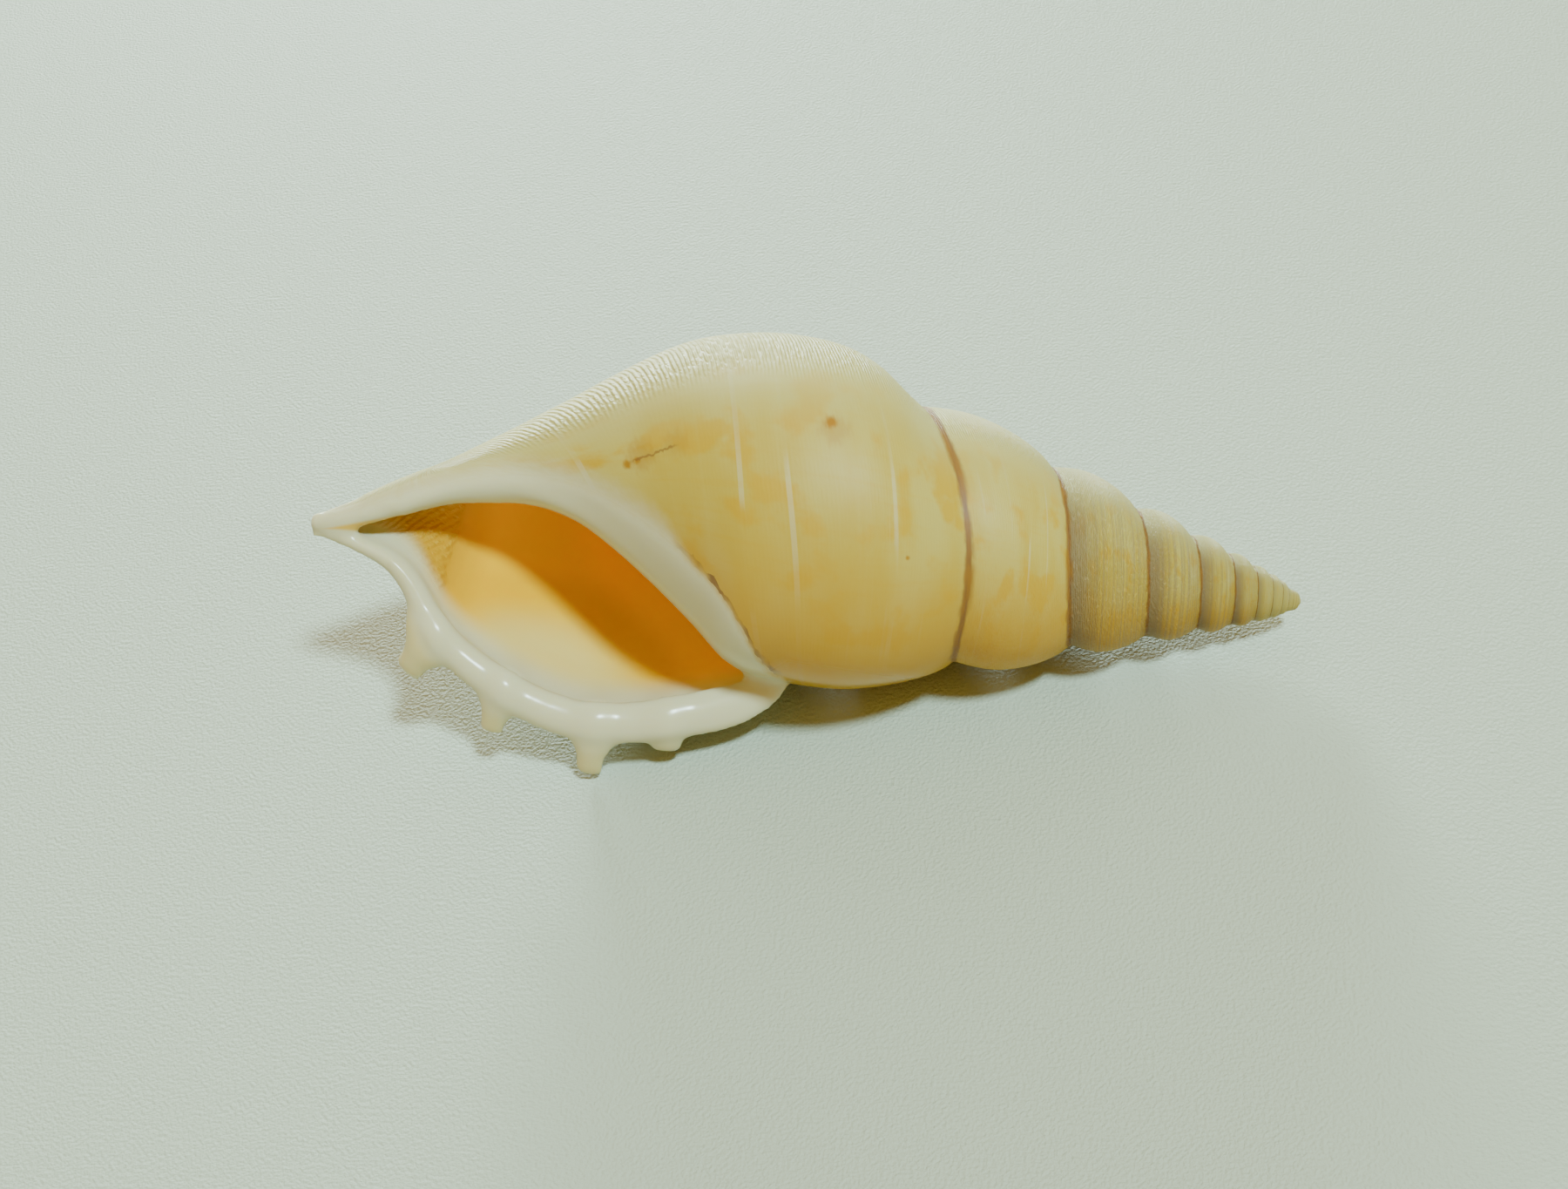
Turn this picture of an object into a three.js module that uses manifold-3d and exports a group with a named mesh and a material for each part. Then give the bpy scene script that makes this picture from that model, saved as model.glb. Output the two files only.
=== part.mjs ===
// A large fusiform sea shell, lying on its back with its mouth turned up towards the front.
// It grew as one piece, so it is one solid: a spire of whorls, a body whorl, a short bent canal,
// a hollow mouth, and a thick outer lip with short fingers.
//
// The shell's own frame has the coiling axis along x. The apex is at x = 0 and the canal's tip
// at x = -LENGTH. A place along the axis is given as its distance from the apex. Around the axis,
// y points away from the outer lip and z out of the mouth. Growth is counted in turns before the
// lip: 0 is the lip, -1 one whole turn earlier. All sizes are millimetres.
import * as THREE from "three";
import { mergeVertices } from "three/addons/utils/BufferGeometryUtils.js";
import Module from "manifold-3d";

// Driving sizes
const LENGTH = 140;
const GROWTH_PER_TURN = 1.5;
const LIP_SUTURE = 70.4; // where the outer lip meets the whorl before it
const FIRST_TURN = -9;
const SPIRE_FULLNESS = 0.33; // how much fuller the young whorls are for their size
const SPIRE_FADE = 0.42;
const SPIRE_SWELL = 0.11; // how much more the young whorls bulge between their sutures
const BLUNTNESS = 0.036; // the very first whorls are fuller still, which makes the tip blunt
const BLUNT_BEFORE = -2.6;
const GLAZE = 0.4; // thickness of the smooth layer laid over the whorl before, inside the mouth
const MOUTH_DEPTH = 0.6; // turns of the hollow that can be looked into
const TURNS_BEHIND = 3; // turns of the hollow behind those, up into the spire
const PAST_LIP = 0.012; // the hollow is cut this many turns beyond the lip, so that it is open
const LEAST_GAP = 0.05; // the hollow is closed where it would be thinner than this
const FLARE_TURNS = 0.06; // the last part of the growth, where the lip turns outwards
const SEAM_SAG = 3; // the last whorl's seam hangs this far back halfway up the side of the mouth
const REST_CUT = 0.15; // depth of the small worn flats that the shell lies on

// Resting pose: the roll turns the mouth up from facing the front, the dip lowers the spire.
const ROLL = 46.9;
const DIP = 14.8;

// Outlines, as [distance from the apex, radius] about the middle line of the shell
const PROFILE_ONE_TURN_BEFORE = [
  [44, 12], [46.9, 15.6], [49, 17.6], [54, 20], [61, 22], [66, 22.5], [71, 22.4], [77.9, 21], [84.4, 15.4],
  [92.7, 9.2], [100.9, 4.4], [106, 3.1], [111, 2.9], [116, 3], [123, 1.9], [130, 0.8], [140, 0.6], [230, 0.6],
];
const PROFILE_HALF_TURN_BEFORE = [
  [54, 15], [57.5, 18.6], [60.6, 20.8], [64.9, 23.9], [70.1, 25.8], [77, 26.2], [83, 25.5], [89.8, 23.6],
  [94.8, 20.9], [101.3, 16.2], [108, 10.9], [114.8, 6.3], [121.7, 4.1], [129.8, 3.9], [136, 2.6], [140, 1.1],
];
const PROFILE_AT_LIP = [
  [67, 19], [70.4, 22.2], [78.5, 25], [84.3, 27.5], [90.2, 30], [97.4, 31.5], [105, 30.5], [111, 28],
  [116, 24], [119.7, 19.5], [122.4, 14.5], [126, 9.2], [130, 5.2], [134, 3], [140, 1.1],
];
// The middle line bends towards the lip at the canal: [distance from the apex, y].
const BEND = [
  [0, 0], [108, 0], [114, -0.3], [119, -1.5], [124, -3.8], [130, -7.2], [135, -9.4], [140, -10.6],
];
// Thickness of the last whorl's wall, thinner along the canal: [distance from the apex, thickness]
const WALL = [[70, 1.8], [110, 1.8], [121, 1.1], [140, 0.8]];
// Radius of the solid column that the whorls wind round; its top is the blunt first whorl
const COLUMN = [
  [0, 0.4], [0.25, 0.95], [0.8, 1.35], [1.6, 1.6], [2.4, 1.5], [3.5, 0.8], [12, 0.7], [56, 3], [100, 2.2],
  [116, 2.2], [124, 1.2], [130, 0.6], [139, 0.5],
];
const MIDDLE = 0.5; // sections of the whorls begin this far from the middle line
// Middle of the rounded rim: [distance from the apex, y]
const RIM_LINE = [
  [70.5, -22.3], [73, -24.4], [76.8, -26.6], [85, -29.8], [92, -31.7], [98, -32.3], [104, -31.4],
  [110, -29.3], [115, -26.8], [119.3, -23.7], [122.3, -20.2], [124.8, -16.8], [128, -14.2], [133, -12.6],
  [138, -11.8],
];
// The rim's half width, in the plane of the mouth, and its half thickness
const RIM_WIDTH = [
  [70.5, 1.3], [73, 2.4], [78, 3.3], [85, 3.2], [98, 3], [115, 2.6], [124, 1.9], [133, 1.2], [138, 0.8],
];
const RIM_THICKNESS = [[70.5, 1.1], [85, 2.1], [104, 2.3], [124, 2], [133, 1.6], [138, 1]];
const RIM_CENTRED = 0.8; // the wall's outside stands this far beyond the rim's middle line
// Fingers of the lip: distance from the apex, lean towards the canal, reach of the tip beyond the
// rim's middle line, and half width of the tip
const FINGERS = [
  { at: 119.8, lean: 34, reach: 7.8, tip: 2.3 },
  { at: 109.4, lean: 12, reach: 6.9, tip: 1.9 },
  { at: 96, lean: 0, reach: 7.8, tip: 2 },
  { at: 86.2, lean: -8, reach: 4.8, tip: 2.4 },
];
const FINGER_DROP = 0.5; // the fingers bend back from the mouth by this share of their reach
const FINGER_THICKNESS = 0.8; // of their width
// Half width along a finger, as [share of its reach, share of its tip's half width]
const FINGER_SHAPE = [[0, 2.7], [0.25, 2.1], [0.45, 1.5], [0.68, 1.05], [0.93, 1.02], [1, 0.8]];

// The smooth layer beside the mouth on the last whorl: where it ends, as [distance from the apex, y],
// the thickness of its sheet, and the height and half width of the roll along its edge
const CALLUS_LINE = [
  [70.4, -22], [73.8, -19.7], [77.5, -15.3], [80.6, -11.4], [83.5, -9], [87.3, -6.2], [91.4, -3.6],
  [96.8, -1.2], [101.7, 0.4], [107, 1.2], [112.8, 0.95], [119, -0.8], [125.8, -3.4], [133, -7], [140, -10.8],
];
const CALLUS_SHEET = 0.25;
const CALLUS_ROLL = 0.6;
const ROLL_WIDTH = 2.2;
const EASE = 1.6; // the sheet reaches its full thickness, and the roll its top, this far from their edges
const CALLUS_STAGE = -0.6; // the layer lies on the part of the whorl that grew before this
const SHEET_START = [70, 76]; // along the axis the sheet rises from nothing to its full thickness here
const ROLL_START = [72, 84];

// How finely the surface is divided
const STEPS_PER_TURN = 28;
const WHORL_STEPS = 6;
const BASE_STEPS = 18;
const HOLLOW_STEPS = 14;
const RIM_SIDES = 10;
const FINGER_SIDES = 10;
const WELD = 2e-3;
const FINEST = 1e-4;

const wasm = await Module();
wasm.setup();
const { Manifold, Mesh } = wasm;

// A smooth function through points, flat beyond its ends
function curveThrough(points) {
  const slope = (i) => {
    const a = points[Math.max(i - 1, 0)];
    const b = points[Math.min(i + 1, points.length - 1)];
    return (b[1] - a[1]) / (b[0] - a[0]);
  };
  return (x) => {
    if (x <= points[0][0]) return points[0][1];
    const i = points.findIndex((p) => p[0] > x) - 1;
    if (i < 0) return points[points.length - 1][1];
    const [[x0, y0], [x1, y1]] = [points[i], points[i + 1]];
    const h = x1 - x0;
    const t = (x - x0) / h;
    const bend = t * t * (3 - 2 * t);
    return y0 + (y1 - y0) * bend + h * t * (1 - t) * ((1 - t) * slope(i) - t * slope(i + 1));
  };
}

const before = curveThrough(PROFILE_ONE_TURN_BEFORE);
const half = curveThrough(PROFILE_HALF_TURN_BEFORE);
const lip = curveThrough(PROFILE_AT_LIP);
const bendAt = curveThrough(BEND);
const rimLine = curveThrough(RIM_LINE);
const rimWidth = curveThrough(RIM_WIDTH);
const rimThickness = curveThrough(RIM_THICKNESS);
const columnRadius = curveThrough(COLUMN);
const wallAt = curveThrough(WALL);
const callusLine = curveThrough(CALLUS_LINE);

const growth = (turn) => GROWTH_PER_TURN ** turn;
const sag = (turn) => (turn > -1 && turn < -0.5 ? SEAM_SAG * Math.sin(2 * Math.PI * (turn + 1)) ** 2 : 0);
const sutureAt = (turn) => LIP_SUTURE * growth(turn) - sag(turn);
const angleAt = (turn) => Math.PI * (1 - 2 * turn);

// How full a whorl is for its size
function fullness(turn) {
  const blunt = BLUNTNESS * Math.max(0, BLUNT_BEFORE - turn) ** 2;
  return 1 + SPIRE_FULLNESS * (1 - Math.exp(SPIRE_FADE * (turn + 0.5))) + blunt;
}

// How far the lip turns outwards at a place along it
const flareAt = (d) => Math.max(0, bendAt(d) - rimLine(d) - lip(d) + RIM_CENTRED);

// The bulge of a young whorl between its sutures, as a factor on its radius
function swell(turn, d) {
  const across = THREE.MathUtils.clamp(Math.log(d / sutureAt(turn)) / Math.log(GROWTH_PER_TURN), 0, 1);
  const share = SPIRE_SWELL * (1 - Math.exp(SPIRE_FADE * (turn + 1)));
  return 1 + share * (Math.sin(Math.PI * across) - 0.6);
}

// Radius of the outer surface at a stage of growth, without the flare
function whorlRadius(turn, d) {
  if (turn <= -1) {
    const scale = growth(turn + 1);
    return (scale * before(d / scale) * swell(turn, d) * fullness(turn)) / fullness(-1);
  }
  const share = (d - sutureAt(turn)) / (LENGTH - sutureAt(turn));
  const alike = (stage) => sutureAt(stage) + share * (LENGTH - sutureAt(stage));
  const weights = [2 * turn * (turn + 0.5), -4 * turn * (turn + 1), 2 * (turn + 0.5) * (turn + 1)];
  return weights[0] * before(alike(-1)) + weights[1] * half(alike(-0.5)) + weights[2] * lip(alike(0));
}

function outerRadius(turn, d) {
  const turned = Math.max(0, 1 + turn / FLARE_TURNS);
  return whorlRadius(turn, d) + flareAt(d) * turned ** 2;
}

// How much the smooth layer beside the mouth adds to the last whorl's radius
function callus(turn, d, radius) {
  if (turn > CALLUS_STAGE) return 0;
  const y = bendAt(d) + radius * Math.cos(angleAt(turn));
  const fromEdge = y - bendAt(d) + radius;
  const { smoothstep } = THREE.MathUtils;
  const sheet = CALLUS_SHEET * smoothstep(callusLine(d) - y, 0, EASE);
  const roll = CALLUS_ROLL * Math.exp(-(((fromEdge - EASE) / ROLL_WIDTH) ** 2));
  return smoothstep(d, ...SHEET_START) * (sheet + roll * smoothstep(d, ...ROLL_START));
}

// A point of the shell from its distance along the axis, its radius and its angle
function place(d, radius, angle) {
  return [-d, bendAt(d) + radius * Math.cos(angle), radius * Math.sin(angle)];
}

// A solid from rings of points, each ring closed, with a flat cap on the first and the last
function solidFromRings(rings) {
  const count = rings[0].length;
  const positions = rings.flat(2).map((value) => Math.round(value / FINEST) * FINEST);
  const index = [];
  for (let i = 0; i + 1 < rings.length; i++) {
    for (let j = 0; j < count; j++) {
      const [a, b] = [i * count + j, i * count + ((j + 1) % count)];
      index.push(a, b, b + count, a, b + count, a + count);
    }
  }
  const cap = (ring, offset, flip) => {
    const origin = new THREE.Vector3(...ring[0]);
    const points = ring.map((p) => new THREE.Vector3(...p).sub(origin));
    const normal = new THREE.Vector3();
    points.forEach((p, i) => normal.add(p.clone().cross(points[(i + 1) % count])));
    const turned = new THREE.Quaternion().setFromUnitVectors(normal.normalize(), new THREE.Vector3(0, 0, 1));
    const flat = points.map((p) => p.applyQuaternion(turned)).map((p) => new THREE.Vector2(p.x, p.y));
    THREE.ShapeUtils.triangulateShape(flat, []).forEach(([a, b, c]) => {
      index.push(...(flip ? [offset + a, offset + c, offset + b] : [offset + a, offset + b, offset + c]));
    });
  };
  cap(rings[0], 0, true);
  cap(rings[rings.length - 1], (rings.length - 1) * count, false);
  const geometry = new THREE.BufferGeometry();
  geometry.setAttribute("position", new THREE.Float32BufferAttribute(positions, 3));
  geometry.setIndex(index);
  return toSolid(geometry);
}

function toSolid(geometry, weld = FINEST) {
  const bare = geometry.clone();
  bare.deleteAttribute("normal");
  bare.deleteAttribute("uv");
  const merged = mergeVertices(bare, weld);
  const made = (triVerts) =>
    new Manifold(new Mesh({ numProp: 3, vertProperties: merged.attributes.position.array, triVerts }));
  const triangles = new Uint32Array(merged.index.array);
  const solid = made(triangles);
  return solid.volume() > 0 ? solid : made(triangles.reverse());
}

// Evenly spaced numbers, both ends included
function range(from, to, steps) {
  return Array.from({ length: steps + 1 }, (_, i) => from + ((to - from) * i) / steps);
}

// One stretch of growth: the whole section from the column out to the surface, turned about the axis
function stretch(turns, section) {
  return solidFromRings(turns.map((turn) => section(turn).map(([d, r]) => place(d, r, angleAt(turn)))));
}

// Section of a young whorl, from its own suture to just past the next
function spireSection(turn, steps) {
  const [start, next] = [sutureAt(turn), sutureAt(turn + 1)];
  const core = 0.03 * start;
  const outside = [...range(start, next, steps), next + 0.04 * (next - start)];
  return [
    [start * 0.94, core],
    [start * 0.96, 0.8 * whorlRadius(turn, start)],
    ...outside.map((d) => [d, whorlRadius(turn, d)]),
    [next * 1.02, core],
  ];
}

// Section of the last turn, from its suture to the canal's tip
function bodySection(turn) {
  const [start, next] = [sutureAt(turn), sutureAt(turn + 1)];
  const outside = [...range(start, next, WHORL_STEPS), ...range(next, LENGTH, BASE_STEPS).slice(1)];
  const middle = range(LENGTH, 106, 10);
  return [
    [start * 0.92, MIDDLE],
    [start * 0.96, 0.8 * whorlRadius(turn, start)],
    ...outside.map((d) => {
      const radius = outerRadius(turn, d);
      return [d, Math.max(radius + callus(turn, d, radius), 0.8)];
    }),
    ...middle.map((d) => [d, MIDDLE]),
  ];
}

// The spire, half a turn at a time, more coarsely where it is small
function spire() {
  const halfTurns = range(FIRST_TURN, -1, (-1 - FIRST_TURN) * 2).slice(1);
  return halfTurns.map((to) => {
    const share = to < -5 ? 0.5 : to < -3 ? 0.7 : 1;
    const steps = Math.round((share * STEPS_PER_TURN) / 2);
    return stretch(range(to - 0.5, to, steps), (turn) => spireSection(turn, Math.round(share * WHORL_STEPS)));
  });
}

// The last turn's stages of growth near the lip, closer together where the lip turns outwards
const lastStages = (from, steps) => [
  ...range(from, -FLARE_TURNS, steps), ...range(-FLARE_TURNS, 0, 4).slice(1),
];

function bodyWhorl() {
  const first = range(-1, -0.5, STEPS_PER_TURN / 2);
  return [stretch(first, bodySection), stretch(lastStages(-0.5, 13), bodySection)];
}

// The solid column that the whorls wind round, which runs down to the canal's tip
function column() {
  const places = [0, 0.25, 0.8, 1.6, 2.4, 3.5, ...range(12, LENGTH - 1, 26)];
  return solidFromRings(places.map((d) => (
    range(0, 2 * Math.PI, 8).slice(0, -1).map((angle) => place(d, columnRadius(d), angle))
  )));
}

// Where the hollow is open at a stage of growth, from its back corner to the canal
function openSpan(turn, inner, outer) {
  const places = range(sutureAt(turn), LENGTH - 3, 160);
  const open = places.filter((d) => outer(d) - inner(d) > LEAST_GAP);
  return [open[0], open[open.length - 1]];
}

// Section of the hollow between the whorl before, which keeps a thin glaze, and the wall
function hollowSection(turn, steps) {
  const grown = Math.min(turn, 0);
  const shrink = Math.sqrt(growth(grown));
  const inner = (d) => whorlRadius(turn - 1, d) + GLAZE;
  const outer = (d) => outerRadius(grown, d) - wallAt(d) * shrink;
  const [from, to] = openSpan(grown, inner, outer);
  const inside = range(from, to, steps).slice(1, -1);
  return [
    [from, inner(from)],
    ...inside.map((d) => [d, Math.max(outer(d), inner(d) + LEAST_GAP)]),
    [to, inner(to)],
    ...inside.reverse().map((d) => [d, inner(d)]),
  ];
}

// The mouth's hollow, and the coarser way back up into the spire
function hollow() {
  const stages = [...lastStages(-MOUTH_DEPTH, 16), PAST_LIP];
  const mouth = stretch(stages, (turn) => hollowSection(turn, HOLLOW_STEPS));
  const behind = Array.from({ length: TURNS_BEHIND }, (_, i) => {
    const to = -MOUTH_DEPTH - i;
    return stretch(range(to - 1, to, 14), (turn) => hollowSection(turn, 6));
  });
  return Manifold.union([mouth, ...behind]);
}

// The rounded rim of the outer lip, from the suture to the canal's tip
function rim() {
  const places = RIM_LINE.flatMap((p, i, all) => (i ? range(all[i - 1][0], p[0], 3).slice(1) : [p[0]]));
  const rings = places.map((d) => {
    const step = 0.3;
    const along = new THREE.Vector3(-2 * step, rimLine(d + step) - rimLine(d - step), 0).normalize();
    const outwards = new THREE.Vector3(along.y, -along.x, 0);
    return range(0, 2 * Math.PI, RIM_SIDES).slice(0, -1).map((angle) => [
      -d + outwards.x * rimWidth(d) * Math.cos(angle),
      rimLine(d) + outwards.y * rimWidth(d) * Math.cos(angle),
      rimThickness(d) * Math.sin(angle),
    ]);
  });
  return solidFromRings(rings);
}

// One finger: wide where it grows out of the rim, narrow in the middle, blunt at its tip
function finger({ at, lean, reach, tip }) {
  const angle = THREE.MathUtils.degToRad(lean);
  const outwards = new THREE.Vector3(-Math.sin(angle), -Math.cos(angle), 0);
  const across = new THREE.Vector3(-Math.cos(angle), Math.sin(angle), 0);
  const root = new THREE.Vector3(-at, rimLine(at), 0);
  const rings = FINGER_SHAPE.map(([share, wide]) => {
    const middle = root.clone().addScaledVector(outwards, share * reach);
    const drop = FINGER_DROP * reach * share ** 2;
    const half = wide * tip;
    const deep = Math.min(half, tip * 1.2) * FINGER_THICKNESS;
    return range(0, 2 * Math.PI, FINGER_SIDES).slice(0, -1).map((turned) => [
      middle.x + across.x * half * Math.cos(turned),
      middle.y + across.y * half * Math.cos(turned),
      deep * Math.sin(turned) - drop,
    ]);
  });
  return solidFromRings(rings);
}

function shellInItsOwnFrame() {
  const grown = Manifold.union([...spire(), ...bodyWhorl(), column()]).subtract(hollow());
  return Manifold.union([grown, rim(), ...FINGERS.map(finger)]);
}

// Lays the shell down, sets its lowest point on the ground and its middle over the origin
function laidDown(shell) {
  const turned = shell.rotate([90 - ROLL, 0, 0]).rotate([0, DIP, 0]);
  const box = turned.boundingBox();
  const middle = [0, 1].map((i) => (box.min[i] + box.max[i]) / 2);
  return turned.translate([-middle[0], -middle[1], -box.min[2] - REST_CUT]);
}

// Takes the worn flats off what would reach below the ground
function wornFlat(shell) {
  const slab = new THREE.BoxGeometry(2 * LENGTH, 2 * LENGTH, 10).translate(0, 0, -5);
  return shell.subtract(toSolid(slab));
}

function toGeometry(solid) {
  const { vertProperties, triVerts } = solid.getMesh();
  const geometry = new THREE.BufferGeometry();
  geometry.setAttribute("position", new THREE.BufferAttribute(vertProperties, 3));
  geometry.setIndex(new THREE.BufferAttribute(triVerts, 1));
  return geometry;
}

// Welds points that all but touch, and leaves out the slivers that this cuts loose
function toMesh(solid) {
  const bodies = toSolid(toGeometry(solid), WELD).decompose();
  const largest = bodies.reduce((a, b) => (b.volume() > a.volume() ? b : a));
  const geometry = toGeometry(largest);
  geometry.computeVertexNormals();
  const cream = new THREE.MeshStandardMaterial({ color: 0xeadcb6, roughness: 0.38, metalness: 0 });
  return new THREE.Mesh(geometry, cream);
}

const group = new THREE.Group();
const shell = toMesh(wornFlat(laidDown(shellInItsOwnFrame())));
shell.name = "shell";
group.add(shell);

export default group;
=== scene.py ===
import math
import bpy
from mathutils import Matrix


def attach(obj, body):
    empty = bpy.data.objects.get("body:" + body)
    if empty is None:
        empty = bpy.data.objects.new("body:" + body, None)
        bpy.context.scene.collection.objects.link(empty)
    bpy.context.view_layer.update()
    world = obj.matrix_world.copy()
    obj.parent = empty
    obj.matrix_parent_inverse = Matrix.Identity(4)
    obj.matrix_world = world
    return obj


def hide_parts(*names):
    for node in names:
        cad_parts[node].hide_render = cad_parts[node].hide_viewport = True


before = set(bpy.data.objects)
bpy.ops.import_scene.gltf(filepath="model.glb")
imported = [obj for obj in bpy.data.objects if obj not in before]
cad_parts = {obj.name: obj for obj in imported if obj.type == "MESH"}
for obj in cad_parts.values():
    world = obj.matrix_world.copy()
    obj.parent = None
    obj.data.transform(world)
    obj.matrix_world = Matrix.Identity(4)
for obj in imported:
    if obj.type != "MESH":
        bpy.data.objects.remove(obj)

# The look of a large fusiform sea shell lying with its mouth turned up: its fine form, its colours
# and markings, and a plain floor, light and camera like the photo's.
#
# The form is grown as in the CAD model, from the same outlines but in finer steps. In the shell's
# own frame the coiling axis is x, with the apex at x = 0 and the canal's tip at x = -LENGTH. The y
# axis points away from the outer lip, and z out of the mouth. "Along" is the distance from the
# apex. Growth is counted in turns before the lip: 0 is the lip, -1 one whole turn earlier.
# Sizes are in millimetres until the finished shell is scaled to metres.
from types import SimpleNamespace

import bmesh
import bpy
import numpy as np
from mathutils import Matrix, Vector
from mathutils.bvhtree import BVHTree

for name in ("Cube", "Light", "Camera"):
    if name in bpy.data.objects:
        bpy.data.objects.remove(bpy.data.objects[name])
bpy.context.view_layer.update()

MM_PER_M = 1000

# Growth
LENGTH = 140  # from the apex to the canal's tip
GROWTH_PER_TURN = 1.5  # each turn is this many times as large as the one before
LIP_SUTURE = 70.4  # where the lip meets the spire
FIRST_TURN = -9
SPIRE_FULLNESS = 0.33  # young whorls are wider for their length, at most by this share
SPIRE_SWELL = 0.11  # and bulge between their seams
SPIRE_FADE = 0.42  # how quickly both come with each turn back from the last
BLUNTNESS = 0.036  # the first whorls are wider still, so the apex is blunt
BLUNT_BEFORE = -2.6
SEAM_SAG = 3  # the last whorl's seam hangs this far back halfway up the side of the mouth
FLARE_TURNS = 0.06  # the lip turns outwards in this last bit of growth
GLAZE = 0.4  # thickness of the smooth layer over the whorl before, inside the mouth
HOLLOW_TURNS = 0.78  # how far back the hollow is cut here, past the edge of the column
PAST_LIP = 0.012  # it is cut this many turns beyond the lip, so that it is open
LEAST_GAP = 0.05  # and closed where it would be thinner than this

# Resting pose: the roll turns the mouth up, the dip lowers the spire, and the shift puts the shell
# on the ground in the middle of the floor
ROLL = 46.9
DIP = 14.8
SHIFT = (68.726, 0.339, 5.534)

# Outlines, as (distance from the apex, radius) about the middle line of the shell
PROFILE_ONE_TURN_BEFORE = [
    (44, 12), (46.9, 15.6), (49, 17.6), (54, 20), (61, 22), (66, 22.5), (71, 22.4), (77.9, 21),
    (84.4, 15.4), (92.7, 9.2), (100.9, 4.4), (106, 3.1), (111, 2.9), (116, 3), (123, 1.9),
    (130, 0.8), (140, 0.6), (230, 0.6),
]
PROFILE_HALF_TURN_BEFORE = [
    (54, 15), (57.5, 18.6), (60.6, 20.8), (64.9, 23.9), (70.1, 25.8), (77, 26.2), (83, 25.5),
    (89.8, 23.6), (94.8, 20.9), (101.3, 16.2), (108, 10.9), (114.8, 6.3), (121.7, 4.1),
    (129.8, 3.9), (136, 2.6), (140, 1.1),
]
PROFILE_AT_LIP = [
    (67, 19), (70.4, 22.2), (78.5, 25), (84.3, 27.5), (90.2, 30), (97.4, 31.5), (105, 30.5),
    (111, 28), (116, 24), (119.7, 19.5), (122.4, 14.5), (126, 9.2), (130, 5.2), (134, 3), (140, 1.1),
]

# By distance from the apex: the middle line's bend in y, the wall's thickness, the column's radius
BEND = [
    (0, 0), (108, 0), (114, -0.3), (119, -1.5), (124, -3.8), (130, -7.2), (135, -9.4), (140, -10.6),
]
WALL = [(70, 1.8), (110, 1.8), (121, 1.1), (140, 0.8)]
COLUMN = [
    (0, 0.4), (0.25, 0.95), (0.8, 1.35), (1.6, 1.6), (2.4, 1.5), (3.5, 0.8), (12, 0.7), (56, 3),
    (100, 2.2), (116, 2.2), (124, 1.2), (130, 0.6), (139, 0.5),
]

# The rim, by distance from the apex: its middle line in y, its half width and its half thickness
RIM_LINE = [
    (70.5, -22.3), (73, -24.4), (76.8, -26.6), (85, -29.8), (92, -31.7), (98, -32.3), (104, -31.4),
    (110, -29.3), (115, -26.8), (119.3, -23.7), (122.3, -20.2), (124.8, -16.8), (128, -14.2),
    (133, -12.6), (138, -11.8),
]
RIM_WIDTH = [
    (70.5, 1.3), (73, 2.4), (78, 3.3), (85, 3.2), (98, 3), (115, 2.6), (124, 1.9), (133, 1.2),
    (138, 0.8),
]
RIM_THICKNESS = [(70.5, 1.1), (85, 2.1), (104, 2.3), (124, 2), (133, 1.6), (138, 1)]
RIM_CENTRED = 0.8  # the flared wall ends this far past the rim's middle line
RIM_START, RIM_END = 70, 139  # the rim lies between these distances from the apex

# Edge of the smooth layer beside the mouth, as (distance from the apex, y), and its thicknesses
CALLUS_LINE = [
    (70.4, -22), (73.8, -19.7), (77.5, -15.3), (80.6, -11.4), (83.5, -9), (87.3, -6.2),
    (91.4, -3.6), (96.8, -1.2), (101.7, 0.4), (107, 1.2), (112.8, 0.95), (119, -0.8),
    (125.8, -3.4), (133, -7), (140, -10.8),
]
CALLUS_START = 69.6
SHEET = 0.25
ROLL_HEIGHT = 0.6
ROLL_FROM_EDGE, ROLL_WIDTH = 1.6, 2.2

# Fingers of the lip: distance from the apex, lean, reach beyond the rim's middle line, half width
FINGERS = [(119.8, 34, 7.8, 2.3), (109.4, 12, 6.9, 1.9), (96, 0, 7.8, 2), (86.2, -8, 4.8, 2.4)]
# Width of a finger from its root, at 0, to its tip, at 1, as a factor on its half width
FINGER_SHAPE = [(0, 2.7), (0.25, 2.1), (0.45, 1.5), (0.68, 1.05), (0.93, 1.02), (1, 0.8)]
FINGER_THICKNESS = 0.8
FINGER_DROP = 0.5  # the fingers bend back from the mouth by this share of their reach

# Each finger runs on over the lip as a low ridge
RIDGE_WIDTH = 1.9  # half width, as a factor on the finger's
RIDGE_HEIGHT = 0.55
RIDGE_STARTS = (-5.5, -1)  # rises between these, beyond the rim's middle line
RIDGE_ENDS = (1.5, 4)  # and sinks between these
RIDGE_FACING = 0.4  # full height only where the surface faces out of the mouth this much

# How finely the surface is divided
STEPS_PER_TURN = 96
WHORL_STEPS = 20
BASE_STEPS = 56
HOLLOW_STEPS = 44
FLARE_STEPS = 12
CORE_STEPS = 20
AROUND = np.arange(24) * math.tau / 24  # points round the column, the rim and a finger
RIM_STEPS = 130
FINGER_STEPS = 16
SKIN = 0.62  # size of the finished skin's faces

# Rounds of smoothing at the rim: the joints with the wall, then more on the rim's inner side. Each
# is (furthest beyond the rim's middle line, rounds). The last rounds are for the whole skin.
JOINT_REACH = -7
JOINT_ROUNDS = [(math.inf, 6), (-0.5, 12)]
JOINT_FACTOR = 0.5
SKIN_ROUNDS = 2
SKIN_FACTOR = 0.35

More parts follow.
